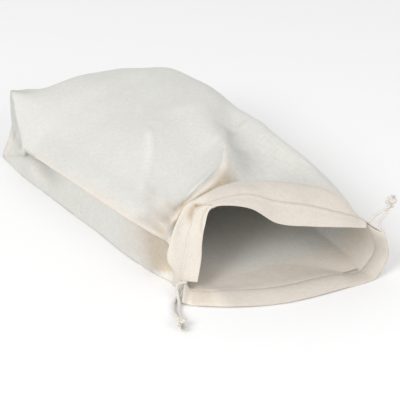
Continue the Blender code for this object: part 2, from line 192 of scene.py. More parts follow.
FOLDS = [Fold(*fold) for fold in (
    # Boxed corner: the crisp edge of its flap with painted shade on the sliver behind it, its seams with
    # painted shade along them, its lobe, and painted light on its warm triangle and beside its seams
    (2.4, 1.8, 9, 1.1, 0.12, 0.06, 0, 0, FLAP_EDGE),
    (0, 28, 0.9, 8, 0.03, 0.35, 0, 1, FLAP_EDGE),
    (2.8, 5, 5, 1, 0, 0.9, 0, 0, ((38, -8), (36, 4), (30, 16))),
    (-2.6, 9, 9, 2, 0.1, 0.5, 0, 0, ((46, -4), (49, 4), (55, 12), (64, 20))),
    (0, 2.4, 2.4, 1.5, 0.05, 0.4, 0, 0.8, ((37, 2), (44, 3), (53, 7), (62, 13))),
    (-3, 5, 2.5, 2, 0.2, 0.5, 0, 0, ((27, 3), (14, 12), (7, 24), (4, 40), (0, 54))),
    (-1.4, 1.8, 1.8, 1, 0.02, 0.05, 0, 0.4, ((-1, 1), (-5, 10), (-6, 34), (-6, 52))),
    (2.4, 6, 7, 2.4, 0.25, 0.03, 0, 0, ((-12, 18), (-13, 34), (-15, 50))),
    (-1, 2, 2, 1.2, 0.1, 0.1, 0, 0.45, ((-6, 8), (-12, 20), (-24, 18), (-40, 8))),
    (-1.2, 2.2, 2.2, 1.2, 0.02, 0.05, 0, 0.5, ((-50, 1), (-34, 20), (-25, 37), (-15, 55))),
    (0, 10, 10, 2, 0.1, 0.1, 0.8, -0.3, ((-14, 2), (-26, 12), (-44, 6))),
    (0, 6, 7, 2, 0.3, 0.2, 0.2, -0.9, ((-6, 14), (-8, 26), (-8, 42))),
    # Under the flap: the hollow with painted shade, and the swelling along the lower wall with painted
    # light
    (-6, 8, 7, 2, 0.02, 0.7, 0, 1, ((-13, 58), (-19, 66), (-24, 84), (-26, 110), (-24, 150))),
    (0, 7, 9, 2, 0.02, 0.6, 0.3, 0.6, ((-6, 58), (-14, 64), (-19, 84), (-18, 110))),
    (1.8, 5, 5, 2, 0.2, 0.4, 0.3, -0.5, ((-34, 60), (-36, 82), (-39, 112))),
    # Side crease: its lit strip with painted light, painted shade on the panel beside it, and the line
    # under it, shaded by its trough and by painted shade
    (0, 16, 14, 2, 0.05, 0.1, 0, 0.3, ((24, 75), (24, 150), (24, 230), (24, 280))),
    (1.8, 1.6, 5, 2, 0.03, 0.08, 0.6, -0.1,
     ((2, 60), (1, 90), (0, 155), (1, 215), (0, 270), (0, 295), (2, 313))),
    (0, 3, 7, 2, 0.5, 0.1, 0.4, 0, ((2, 170), (1, 215), (0, 270), (1, 305))),
    (-2.4, 7, 4, 2, 0.02, 0.8, 0, 0.5, ((-8, 60), (-9, 90), (-9, 150))),
    (0, 2.6, 2.2, 1.8, 0.02, 0.5, 0, 1.9, ((0.5, 60), (0.3, 76), (-0.5, 100))),
    (-1.2, 6, 4, 2, 0.3, 0.1, 0, 0.1, ((-8, 110), (-9, 200), (-8, 290))),
    # Lower wall: the upright hollow beside the band with painted shade and painted warm bounce light, and
    # painted light on the cloth beside the band below it
    (-3, 12, 24, 2.4, 0.1, 0.1, 1.5, 1.1, ((-6, 287), (-22, 293), (-34, 298), (-46, 305))),
    (0, 14, 12, 2, 0.1, 0.1, 0.4, 0.3, ((-4, 268), (-24, 272), (-46, 278))),
    (0, 7, 12, 2, 0.3, 0.3, 0.1, -1.1, ((-30, 309), (-40, 309), (-50, 312), (-62, 317))),
    (0, 6, 6, 2, 0.3, 0.3, 0.5, 0.9, ((-5, 300), (-12, 308), (-15, 314))),
    # Bulge: long soft creases that run down towards the side crease, with painted highlights along their
    # crests and painted shade in their trough
    (1, 6, 5, 2, 0.4, 0.4, 0, -0.1, ((131, 141), (108, 169))),
    (0, 3.5, 2.2, 1.6, 0.3, 0.4, 0, -0.5,
     ((104, 199), (99, 207), (90, 220), (80, 228), (70, 235), (56, 243))),
    (2.2, 7, 3.4, 2, 0.15, 0.4, 0, -0.2,
     ((107, 195), (99, 207), (90, 220), (80, 228), (70, 235), (51, 246), (32, 257), (16, 266), (7, 269))),
    (-1.8, 8, 8, 2, 0.3, 0.3, 0.2, 0.5, ((62, 250), (46, 259), (30, 269), (12, 282))),
    (1.2, 6, 5, 2, 0.4, 0.4, 0, -0.1, ((66, 268), (46, 278), (30, 288))),
    # Side crease's end: painted shade and painted warm bounce light on the cloth between the bulge and the
    # band
    (0, 12, 10, 2.4, 0.2, 0.1, 0.8, 0.7, ((62, 288), (40, 290), (20, 294), (2, 296))),
    (0, 10, 10, 2, 0.25, 0.02, 0.1, 0.5, ((10, 276), (5, 294), (4, 313))),
    (0, 8, 7, 2, 0.1, 0.3, 0.5, 0.7, ((42, 297), (30, 300), (19, 302))),
    (0, 9, 12, 2, 0.3, 0.3, 1.1, 0.2, ((5, 294), (9, 304), (13, 312), (10, 322), (6, 330))),
    (-2.4, 8, 5, 1.6, 0.3, 0.2, 0.3, 0.3, ((96, 296), (78, 291), (60, 290), (44, 292), (32, 298))),
    # Painted light on the bulge's top, this side of the roll
    (0, 30, 22, 3, 0.2, 0.1, 0, -0.45, ((165, 170), (165, 220), (162, 262))),
    # Roll: the line where it starts, its swelling, painted light on its edge and on the panel before it,
    # its warm tone of painted warm bounce light, and painted shade in the pockets at its ends and along its
    # lower line
    (-2, 6.5, 1.8, 1, 0.34, 0.03, 0, 0, ROLL_START),
    (2, 12, 7, 2, 0.4, 0.4, 0, 0,
     ((208, 215), (209, 235), (207, 262), (202, 282), (192, 294), (178, 300), (160, 302))),
    (2, 2.8, 7, 1.6, 0.3, 0.05, 0, 0,
     ((188, 285), (181, 295), (169, 301), (144, 305.5), (121, 309.5), (102, 310), (80, 307), (62, 305),
      (45, 303))),
    (0, 12, 6, 2, 0.2, 0.3, 0, -0.45, ((180, 246), (187, 264), (186, 278), (178, 287))),
    (0.8, 2.2, 3, 1.6, 0.15, 0.1, 0, -0.3,
     ((192, 262), (192, 274), (188, 286), (181, 295), (171, 300), (156, 303), (143, 305.5), (121, 309),
      (101, 309), (80, 306.5), (62, 304.5))),
    (0, 1.5, 12, 3, 0.4, 0.02, 1, -0.15, ROLL_START),
    (0, 5, 10, 2.4, 0.4, 0.05, 1.2, 0.3,
     ((184, 304), (168, 306), (147, 310), (129, 315), (110, 318), (90, 318), (60, 316))),
    (0, 3, 8, 2, 0.2, 0.1, 0.5, -0.6, ((104, 315), (80, 312), (62, 310), (45, 309))),
    (-1.5, 5, 8, 2, 0.45, 0.3, 0.3, 1.15, ((142, 313), (152, 314), (162, 317), (176, 320))),
    (0, 8, 1, 1.4, 0.3, 0.3, 0.9, 0.5, ((98, 306), (80, 304), (63, 302), (48, 300))),
    (0, 8, 8, 2, 0.3, 0.3, 1.1, 1.1, ((84, 301), (72, 296), (60, 292), (48, 293))),
    (0, 5, 5, 2, 0.4, 0.4, 0, 0.7, ((126, 306), (139, 304.5), (156, 302))),
    (0, 6, 5, 2, 0.3, 0.3, 0.1, -0.9, ((128, 303), (112, 302), (96, 299), (86, 298))),
    # Neck: the valleys beyond the roll and behind the arch, darkened by painted shade
    (-3, 12, 14, 2, 0.3, 0.5, 0, 0.3,
     ((196, 306), (205, 296), (212, 280), (222, 252), (228, 226), (232, 200))),
    (0, 7, 9, 2, 0.3, 0.3, 0, 0.5, ((222, 300), (204, 301), (192, 306), (176, 311))),
    (-2, 8, 10, 2, 0.3, 0.4, 0, 0.2,
     ((217, 262), (216, 284), (208, 303), (190, 314), (166, 319), (142, 321))),
    (-2.5, 8, 5, 1.6, 0.3, 0.3, 0, 0.2, ((192, 209), (212, 236), (230, 282), (229, 308), (231, 341))),
    (-4, 5, 14, 2, 0.2, 0.3, 0, 0.2, ((124, 328), (150, 330), (190, 332), (225, 335), (258, 339))),
    # Arch: its crisp horizon, and painted shade on its top and over its channel
    (3, 12, 2.4, 1.2, 0.15, 0.2, 0, 0, ARCH_TOP),
    (0, 25, 3, 3, 0.1, 0.35, 0, 0.75, ARCH_TOP),
    (0, 22, 18, 4, 0.06, 0.02, 0, 0.42, ((112, 386), (200, 386), (290, 386))),
    (0, 22, 20, 4, 0.2, 0.4, 0, 0.25, ((118, 386), (140, 386), (200, 386))),
    (0, 8, 8, 2, 0.2, 0.3, 0, 0.3, ((140, 356), (160, 358), (180, 360))),
    # Band: its outer ridge with painted light, its shallow valley, the pleat where the arch laps over it
    # with painted shade and painted warm bounce light, and painted shade along its channel's line
    (1.2, 8, 3, 1.6, 0.2, 0.1, 0.2, -0.2, ((24, 346), (49, 344), (69, 341), (96, 339), (118, 341))),
    (-0.5, 5, 5, 2, 0.2, 0.2, 0, 0, ((93, 351), (77, 353), (53, 358), (27, 362), (9, 364))),
    (-2, 1.6, 1.6, 1.2, 0.12, 0.3, 0.9, 1.5,
     ((112, 349), (114, 357), (114.5, 364), (114, 376), (113.5, 389))),
    (-2.4, 4.5, 3, 1.8, 0.06, 0.7, 1, 1, ((114, 355), (109, 354), (101, 357), (92, 361), (76, 368))),
    (-0.8, 1.6, 1.6, 1.4, 0.1, 0.3, 0.4, 0.8, ((110, 383), (96, 384), (84, 384), (69, 386), (52, 389))),
    # Lower lip: painted shade along its length, and painted light in the hollow at its left end
    (0, 14, 14, 4, 0.03, 0.02, 0, 0.7, ((-16, 388), (-160, 388), (-296, 388))),
    (0, 14, 34, 3, 0.1, 0.3, 0.3, -1.5, ((-4, 372), (-40, 368), (-90, 366))),
    # Channels: the swelling round the cord
    (0.35, 7, 7, 2, 0, 0, 0, 0, ((-300, 382), (296, 382))),
)]

# Tone: where the cloth turns warm along it, as a start and a length, by the mouth on both layers and
# earlier on the near side of the lower layer; how far across that side goes, and its fading part
MOUTH_WARM, NEAR_SIDE_WARM, NEAR_SIDE = (333, 12), (290, 50), (180, 80)
# Painted shade on the lower layer's wall: its strength, how far from the seam it starts, and where it ends
WALL_PAINTED_SHADE, WALL_START, WALL_END, WALL_FADE = 0.4, 6, 70, 20
# Painted shade on the base by its near corner seam: how fast it fades
BASE_PAINTED_SHADE_FADE = 8

# Uneven waves of the whole cloth: height, length, number and seed; and how far from a seam they fade
WAVES = ((0.35, 60, 9, 5), (0.07, 19, 12, 9))
WAVE_FADE = 24

# Hems: a channel's depth from its edge to its stitches, and the turned-under strip past them
CHANNEL = 19
TURNED_UNDER = 5
STITCH_LINE = SECTIONS["edge"] - CHANNEL
# Gap between a hem's two layers, how soon it opens from the edge, the cord's room in the channel,
# the rows of faces from the edge back, the gaps of the last rows, and how low the inner layer may lie
HEM_GAP, HEM_OPENING, CORD_ROOM = 1.3, 0.8, 2.2
HEM_ROWS = (0.4, 1, 2, 3.5, 6, 9, 12, 15, 17, 18.3, CHANNEL, CHANNEL + 1.2, CHANNEL + TURNED_UNDER)
HEM_LAST_GAPS = (1.0, 0.7, 0.3)
HEM_LOWEST = 0.9

# Stitches: the distance between two, their length and radius, how deep they sink in, and how low
# they go
STITCH_PITCH, STITCH_LENGTH, STITCH_RADIUS, STITCH_SUNK, STITCH_LOWEST = 3.2, 2.4, 0.15, 0.09, 0.5
THREAD_COLOUR = (0.84, 0.78, 0.70)

# Routes of the drawcords' strands from the ends of the channels to the knots
CORD_ROUTES = {
    "drawcord_left_upper": (
        (-84.5, -105, 11.5), (-88.5, -104, 12), (-93, -103, 11), (-97, -106.5, 9), (-99, -111, 7),
        (-101.5, -117, 4), (-105, -124, 2.1), (-110, -132, 2.1), (-114.6, -141.2, 4.6),
        (-116.4, -146.3, 5.4)),
    "drawcord_left_lower": (
        (-79, -98, 7), (-86.5, -102.5, 6.6), (-93.6, -106.4, 5.4), (-97, -109.5, 3.6),
        (-100.5, -111.5, 2.3), (-107, -116.5, 2.1), (-112, -123.5, 2.1), (-116, -132, 2.5),
        (-117.9, -139.6, 4.6), (-119.7, -144.9, 5.4)),
    "drawcord_right_upper": (
        (90.5, -176.5, 61.5), (97, -174.5, 63.5), (104, -173, 65), (111, -174.5, 68), (116.6, -175.6, 71),
        (119.9, -173.5, 71.3)),
    "drawcord_right_lower": (
        (100.5, -190, 50), (99.3, -190, 54), (99, -188.5, 57.4), (99.6, -184, 59.2), (103, -180, 60),
        (108.5, -178, 62), (113.5, -177, 65), (116.6, -175.6, 67.2), (119.9, -173.5, 67.5)),
}
# Distance between two rings of a strand, and a ply's outer and inner radius against the cord's
CORD_STEP, PLY_CREST, PLY_GROOVE = 0.7, 1.1, 0.88

# Each knot: where the strands enter it, the way its frayed ends point, and a seed for its fibres
KNOTS = {
    "knot_left": ((-118.2, -146.2, 5.8), (-0.36, -0.93, 0), 11),
    "knot_right": ((120.6, -173, 69.5), (0.82, 0.56, 0.1), 23),
}
# Size of a knot's loops, their width and how far back they lie against it, how much thicker the
# cord is than in the strands, and the steps along it
KNOT_SIZE, KNOT_WIDTH, KNOT_BACK, KNOT_SWELL, KNOT_STEPS = 2.3, 0.62, 2.9, 1.25, 96
# Fibres: where they start behind the knot, their lengths, radius and bend, how far apart they start
# and how much that grows, and how low they may hang
FIBRE_START, FIBRE_LENGTHS, FIBRE_RADIUS, FIBRE_BEND = 7.6, (7.5, 10.8), 0.22, 0.9
FIBRE_APART, FIBRE_GROWTH, FIBRE_LOWEST = 1.3, 1.9, 0.35

# Stage, in metres: the lens in millimetres, the point that the camera looks at, the place and size
# of each light, half the floor's width, and how far it is under the bag
LENS = 100
CAMERA_TARGET = (0, 0, 0.0285)
MAIN_LIGHT = ((-2.78, -0.60, 2.20), 1.8)
FILL_LIGHT = ((0.45, -1.65, 1.1), 1.2)
FLOOR_SIZE, FLOOR_DEPTH = 6, 0.0002


class BreadBagCloth(bpy.types.PropertyGroup):
    """Sizes and colours of the bag's cloth."""

    thickness: FloatProperty(
        name="Thickness", description="Thickness of the cloth", default=0.8 * MM, unit="LENGTH")
    thread_pitch: FloatProperty(
        name="Thread pitch", description="Distance from one thread to the next", default=0.55 * MM,
        unit="LENGTH")
    panel_colour: FloatVectorProperty(
        name="Panel colour", description="Colour of the single cloth of the big panels",
        default=(0.705, 0.70, 0.66), **COLOUR)
    # The warmer tone of doubled cloth, which in folds also stands for painted warm bounce light
    fold_colour: FloatVectorProperty(
        name="Fold colour", description="Warmer colour where the cloth is doubled or folded",
        default=(0.755, 0.695, 0.62), **COLOUR)
    # Painted warm bounce light and painted shade, deep in the creases
    crease_bounce_colour: FloatVectorProperty(
        name="Crease colour", description="Warmest colour, deep between two folds",
        default=(0.72, 0.60, 0.44), **COLOUR)
    fleck_colour: FloatVectorProperty(
        name="Fleck colour", description="Colour of the seed flecks in the unbleached yarn",
        default=(0.52, 0.42, 0.30), **COLOUR)


class BreadBagCord(bpy.types.PropertyGroup):
    """Sizes and colours of the drawcords and their knots."""

    diameter: FloatProperty(
        name="Diameter", description="Diameter of a drawcord", default=3.2 * MM, unit="LENGTH")
    twist: FloatProperty(
        name="Twist", description="Length of cord in which its plies turn once", default=11 * MM,
        unit="LENGTH")
    fibres: IntProperty(
        name="Fibres", description="Number of loose fibres behind each knot", default=70,
        subtype="UNSIGNED")
    colour: FloatVectorProperty(
        name="Colour", description="Colour of the cotton cord", default=(0.82, 0.78, 0.72), **COLOUR)


class BreadBagStage(bpy.types.PropertyGroup):
    """The camera, the light and the floor."""

    azimuth: FloatProperty(
        name="Azimuth", description="Direction in which the camera looks, from +Y", default=radians(-33),
        subtype="ANGLE")
    elevation: FloatProperty(
        name="Elevation", description="Height of the camera above the horizon", default=radians(31),
        subtype="ANGLE")
    distance: FloatProperty(
        name="Distance", description="Distance from the camera to the bag", default=1.235, unit="LENGTH")
    floor_colour: FloatVectorProperty(
        name="Floor colour", description="Colour of the plain floor", default=(0.97, 0.97, 0.97), **COLOUR)
    ambient: FloatProperty(
        name="Ambient light", description="Strength of the even light from all around", default=0.70,
        subtype="FACTOR")
    fill_power: FloatProperty(
        name="Fill light", description="Power of the weak light at the mouth's side", default=7,
        subtype="POWER")
    key_power: FloatProperty(
        name="Main light", description="Power of the large soft light", default=51, subtype="POWER")


class Wire:
    """A shader socket that can be used in arithmetic."""

    def __init__(self, tree, socket):
        self.tree = tree
        self.socket = socket

    def node(self, kind, settings=None, output=0, **inputs):
        """Add a node of any kind: its settings first, then the values or links of its sockets."""
        made = self.tree.nodes.new(kind)
        for name, value in (settings or {}).items():
            setattr(made, name, value)
        for name, value in inputs.items():
            socket = made.inputs[int(name[1:]) if name[1:].isdigit() else name.replace("_", " ")]
            if isinstance(value, Wire):
                value.into(socket)
            else:
                socket.default_value = value
        return Wire(self.tree, made.outputs[output])

    def into(self, socket):
        self.tree.links.new(self.socket, socket)

    def stored(self, name):
        """A value that the mesh keeps for each of its points."""
        return self.node("ShaderNodeAttribute", {"attribute_name": name}, output=2)

    def noise(self, place, scale, detail, dimensions="3D"):
        """Cloudy values around 0.5."""
        settings = {"noise_dimensions": dimensions}
        return self.node("ShaderNodeTexNoise", settings, Vector=place, Scale=scale, Detail=detail)

    def bumps(self, strength, distance):
        """Relief of this height, for a surface's normals."""
        return self.node("ShaderNodeBump", Strength=strength, Distance=distance, Height=self)

    def maths(self, operation, first, second=0.0):
        return self.node("ShaderNodeMath", {"operation": operation}, i0=first, i1=second)

    def __add__(self, other):
        return self.maths("ADD", self, other)

    def __sub__(self, other):
        return self.maths("SUBTRACT", self, other)

    def __rsub__(self, other):
        return self.maths("SUBTRACT", other, self)

    def __mul__(self, other):
        return self.maths("MULTIPLY", self, other)

    __radd__ = __add__
    __rmul__ = __mul__

    def clamped(self, low=0.0, high=1.0):
        """Spread the values from low to high over 0 to 1, and hold those beyond."""
        return self.node("ShaderNodeMapRange", Value=self, From_Min=low, From_Max=high)

    def waves(self, pitch):
        """Even waves from 0 to 1, one for each pitch of this value."""
        return self.maths("SINE", self * (tau / pitch)) * 0.5 + 0.5

    def mixed(self, first, second):
        """Mix two colours by this value."""
        return self.node("ShaderNodeMix", {"data_type": "RGBA"}, output=2, Factor=self, i6=first, i7=second)


def rgba(colour, gain=1.0):
    """A colour for a socket, made lighter or darker."""
    return (*(min(1.0, part * gain) for part in colour), 1.0)


def start_material(name, roughness, sheen=0.0, specular=0.25):
    """Make a matt material; returns it, the sockets of its surface and a first wire for its maths."""
    material = bpy.data.materials.new(name)
    material.use_nodes = True
    surface = material.node_tree.nodes["Principled BSDF"].inputs
    surface["Roughness"].default_value = roughness
    surface["Specular IOR Level"].default_value = specular
    surface["Sheen Weight"].default_value = sheen
    return material, surface, Wire(material.node_tree, None)


def cloth_material(settings):
    """Unbleached plain weave: threads both ways, uneven yarns, seed flecks, a warmer tone where the cloth
    is doubled, painted warm bounce light in folds and creases, and painted shade and painted light.
    """
    material, surface, wire = start_material("natural_cotton_cloth", 0.88, 0.12)
    place = wire.node("ShaderNodeUVMap", {"uv_map": "cloth"})
    across = wire.node("ShaderNodeSeparateXYZ", i0=place)
    along = Wire(wire.tree, across.socket.node.outputs[1])

    def yarns(width, length, seed, turned_seed):
        """Streaks of thick and thin yarn along both sets of threads, around 1."""
        both = []
        for scale, moved in (((1 / width, 1 / length, 1), seed), ((1 / length, 1 / width, 1), turned_seed)):
            shift = (moved, moved * 0.7, 0)
            spot = wire.node("ShaderNodeMapping", Vector=place, Scale=scale, Location=shift)
            both.append(wire.noise(spot, 1.0, 1.0, "2D"))
        return both[0] + both[1]

    fine = yarns(0.9 * MM, 9 * MM, 3.1, 7.7)
    slubs = yarns(1.6 * MM, 7 * MM, 5.3, 1.9)
    uneven = (fine - 1.0) * 0.2 + (slubs - 1.0) * 0.14 + (wire.noise(place, 38.0, 2.0) - 0.5) * 0.08
    # Warmer tone of doubled cloth and painted warm bounce light in folds; past 1, the crease colour paints
    # warm bounce light deep in creases
    warmth = wire.stored("warmth")
    folded = warmth.clamped().mixed(rgba(settings.panel_colour), rgba(settings.fold_colour))
    warmed = warmth.clamped(1.0, 2.0).mixed(folded, rgba(settings.crease_bounce_colour))
    light = (uneven + 0.5).clamped().mixed((0.0, 0.0, 0.0, 1.0), (1.0, 1.0, 1.0, 1.0))
    toned = wire.node("ShaderNodeMix", {"data_type": "RGBA", "blend_type": "SOFT_LIGHT"}, output=2,
                      Factor=1.0, i6=warmed, i7=light)
    # Painted shade darkens the colour, and painted light (shading below 0) lightens it
    kept = 1.0 - wire.stored("shade") * 0.2
    darkened = wire.node("ShaderNodeVectorMath", {"operation": "SCALE"}, i0=toned, Scale=kept)
    specks = wire.node("ShaderNodeTexVoronoi", Vector=place, Scale=420.0, Randomness=1.0)
    fleck = specks.clamped(0.16, 0.05) * wire.noise(place, 160.0, 0.0).clamped(0.60, 0.68)
    (fleck * 0.55).mixed(darkened, rgba(settings.fleck_colour)).into(surface["Base Color"])
    two_threads = 2 * settings.thread_pitch
    weave = across.waves(two_threads) * along.waves(two_threads)
    height = weave * 0.35 + (fine - 1.0) * 0.9 + (slubs - 1.0) * 0.8
    height.bumps(0.35, 0.25 * MM).into(surface["Normal"])
    return material


def cord_material(name, colour):
    """Soft cotton yarn, with painted shade between its plies."""
    material, surface, wire = start_material(name, 0.9, 0.15)
    fuzz = wire.noise(wire.node("ShaderNodeTexCoord", output=3), 1400.0, 3.0)
    shade = (wire.stored("groove") * 0.75 + (fuzz - 0.5) * 0.5).clamped()
    shade.mixed(rgba(colour), rgba(colour, 0.74)).into(surface["Base Color"])
    fuzz.bumps(0.5, 0.2 * MM).into(surface["Normal"])
    return material


def thread_material():
    """Smooth sewing thread."""
    material, surface, wire = start_material("sewing_thread", 0.7, 0.1)
    fuzz = wire.noise(wire.node("ShaderNodeTexCoord", output=3), 2500.0, 2.0)
    fuzz.mixed(rgba(THREAD_COLOUR, 0.92), rgba(THREAD_COLOUR)).into(surface["Base Color"])
    return material


def smooth_line(points, knots, at):
    """Read smooth curves through rows of points, each row at its knot, at several distances."""
    points, knots, at = (np.asarray(given, float) for given in (points, knots, at))
    shape = (-1,) + (1,) * (points.ndim - 1)
    gaps = np.diff(knots)
    rises = np.diff(points, axis=0) / gaps.reshape(shape)
    before, after = gaps[:-1].reshape(shape), gaps[1:].reshape(shape)
    inner = (rises[:-1] * after + rises[1:] * before) / (before + after)
    slopes = np.concatenate((rises[:1], inner, rises[-1:]))
    start = np.clip(np.searchsorted(knots, at, side="right") - 1, 0, len(gaps) - 1)
    span = gaps[start].reshape(shape)
    share = ((at - knots[start]) / gaps[start]).reshape(shape)
    square, cube = share ** 2, share ** 3
    return (
        points[start] * (2 * cube - 3 * square + 1)
        + slopes[start] * span * (cube - 2 * square + share)
        + points[start + 1] * (3 * square - 2 * cube)
        + slopes[start + 1] * span * (cube - square)
    )


def distances(points):
    """Distance of each point of a line from its first point, measured along the line."""
    return np.concatenate(((0,), np.cumsum(np.linalg.norm(np.diff(points, axis=0), axis=1))))


def eased(share):
    """Ease from 0 to 1."""
    share = np.clip(share, 0.0, 1.0)
    return share * share * (3 - 2 * share)


def rows_along():
    """Distances of the mesh's rows from the closed end, finer towards the mouth."""
    starts = [start for start, _ in ROW_PITCH] + [SECTIONS["edge"]]
    rows = []
    for (start, pitch), stop in zip(ROW_PITCH, starts[1:]):
        rows.append(np.linspace(start, stop, round((stop - start) / pitch) + 1)[:-1])
    return np.append(np.concatenate(rows), SECTIONS["edge"])


def columns_across(layer, width):
    """Distances of a layer's columns from the near seam, closer together beside the seams."""
    near, far = BASE_CORNERS[layer]
    spread = np.linspace(0, 1, SIDE_FACES + 1) ** SIDE_SPREAD
    columns = near * spread
    for stop, faces in MIDDLE_RUNS[layer]:
        columns = np.append(columns, np.linspace(columns[-1], stop, faces + 1)[1:])
    return np.append(columns, width - (width - far) * spread[-2::-1])


def layer_grid(table, edge_ends, knots, across, along):
    """Work out the grid of points of one layer, in millimetres, row by row from the closed end."""
    near = NEAR_SEAM + edge_ends[:1]
    far = FAR_SEAM + edge_ends[1:]
    sections = [(start, *zip(*row), stop) for start, row, stop in zip(near, table.values(), far)]
    rows = np.array(sections, float).transpose(1, 0, 2)
    columns = smooth_line(rows, knots, across).transpose(1, 0, 2)
    return smooth_line(columns, tuple(SECTIONS.values()), along)


def outward(grid, up):
    """Directions out of the bag at each point of a layer, which is the upper one if up is 1."""
    normal = np.cross(np.gradient(grid, axis=0), np.gradient(grid, axis=1)) * up
    return normal / np.linalg.norm(normal, axis=2, keepdims=True)


def near_route(route, across, along):
    """Signed distance of every cloth point from a fold's route, and the share of its length there."""
    corners = np.array(route, float)
    knots = distances(corners)
    line = smooth_line(corners, knots, np.linspace(0, knots[-1], ROUTE_STEPS * len(corners)))
    place = np.stack(np.meshgrid(across, along), axis=2)
    nearest, signed, share = np.full(place.shape[:2], np.inf), 0, 0
    pieces = len(line) - 1
    for index in range(pieces):
        run = line[index + 1] - line[index]
        away = place - line[index]
        part = np.clip(away @ run / (run @ run), 0, 1)
        offset = away - part[..., None] * run
        distance = np.hypot(offset[..., 0], offset[..., 1])
        side = np.sign(run[0] * offset[..., 1] - run[1] * offset[..., 0])
        closer = distance < nearest
        nearest = np.where(closer, distance, nearest)
        signed = np.where(closer, distance * side, signed)
        share = np.where(closer, (index + part) / pieces, share)
    return signed, share


def press_folds(grid, across, along, up, tone_and_shading):
    """Raise the ridges and press the troughs of the folds, one after another, and add their warmth and
    their painted shading.
    """
    for fold in FOLDS:
        signed, share = near_route(fold.route, across, along)
        width = np.where(signed > 0, fold.left, fold.right)
        ends = eased(share / max(fold.start, 0.001)) * eased((1 - share) / max(fold.end, 0.001))
        rise = np.exp(-(np.abs(signed) / width) ** fold.crest) * ends
        grid = grid + outward(grid, up) * (fold.height * rise)[..., None]
        tone_and_shading = tone_and_shading + rise[..., None] * (fold.warmth, fold.shade)
    return grid, tone_and_shading


def ripples(across, along, pitch, count, seed):
    """Soft uneven waves over the cloth, mostly from -1 to 1."""
    random = np.random.default_rng(seed)
    u, v = np.meshgrid(across, along)
    total = np.zeros(u.shape)
    for _ in range(count):
        angle, phase = random.uniform(0, tau, 2)
        length = pitch * random.uniform(0.7, 1.5)
        total += np.sin(tau * (u * cos(angle) + v * sin(angle)) / length + phase)
    return total / np.sqrt(count / 2)


def with_hem(grid, across, tone_and_shading, up, along):
    """Turn the cloth in at the mouth: rows from the edge back along the inside, past the stitches."""
    back = np.array(HEM_ROWS)
    at = SECTIONS["edge"] - back
    surface, inward = smooth_line(grid, along, at), -smooth_line(outward(grid, up), along, at)
    depth = HEM_GAP * (1 - np.exp(-back / HEM_OPENING))
    in_channel = back < CHANNEL
    depth[in_channel] += CORD_ROOM * np.sin(pi * back[in_channel] / CHANNEL) ** 0.7
    depth[-len(HEM_LAST_GAPS):] = HEM_LAST_GAPS
    hem = surface + inward * depth[:, None, None]
    hem[..., 2] = np.maximum(hem[..., 2], HEM_LOWEST)
    pairs = ((grid, hem), (along, SECTIONS["edge"] + back), (tone_and_shading, np.repeat(tone_and_shading[-1:], len(hem), axis=0)))
    grid, along, tone_and_shading = (np.concatenate(pair) for pair in pairs)
    return grid, across, along, tone_and_shading


def base_grid(top, bottom):
    """Fill the upright base between its lower edge, its upper edge and the two corner seams."""
    far = SIDE_FACES + MIDDLE_FACES
    near_edge = np.concatenate((bottom[0, SIDE_FACES:0:-1], top[0, :SIDE_FACES + 1]))
    far_edge = np.concatenate((bottom[0, far:-1], top[0, :far - 1:-1]))
    low, high = bottom[0, SIDE_FACES:far + 1], top[0, SIDE_FACES:far + 1]
    up = np.linspace(0, 1, BASE_FACES_UP + 1)[:, None, None]
    over = np.linspace(0, 1, MIDDLE_FACES + 1)[None, :, None]
    edges = low * (1 - up) + high * up + near_edge[:, None] * (1 - over) + far_edge[:, None] * over
    corners = (low[0] * (1 - over) + low[-1] * over) * (1 - up)
    corners = corners + (high[0] * (1 - over) + high[-1] * over) * up
    sag = BASE_SAG * 16 * up * (1 - up) * over * (1 - over)
    return edges - corners - sag * np.array((0, 1, 0))


def add_cloth_grid(mesh, grid, across, along, tone_and_shading):
    """Add one grid of cloth to a mesh, with its points, its cloth coordinates, its warmth and its painted
    shading.
    """
    rows, columns = grid.shape[:2]
    made = bmesh.ops.create_grid(mesh, x_segments=columns - 1, y_segments=rows - 1, size=1)["verts"]
    warmth, shade = mesh.verts.layers.float["warmth"], mesh.verts.layers.float["shade"]
    for vertex, point, (warm, dark) in zip(made, grid.reshape(-1, 3), tone_and_shading.reshape(-1, 2)):
        vertex.co = Vector(point) * MM
        vertex[warmth], vertex[shade] = warm, dark
    chart = mesh.loops.layers.uv["cloth"]
    mesh.verts.index_update()
    first = made[0].index
    faces = {face for vertex in made for face in vertex.link_faces}
    for face in faces:
        for loop in face.loops:
            row, column = divmod(loop.vert.index - first, columns)
            loop[chart].uv = (across[column] * MM, along[row] * MM)


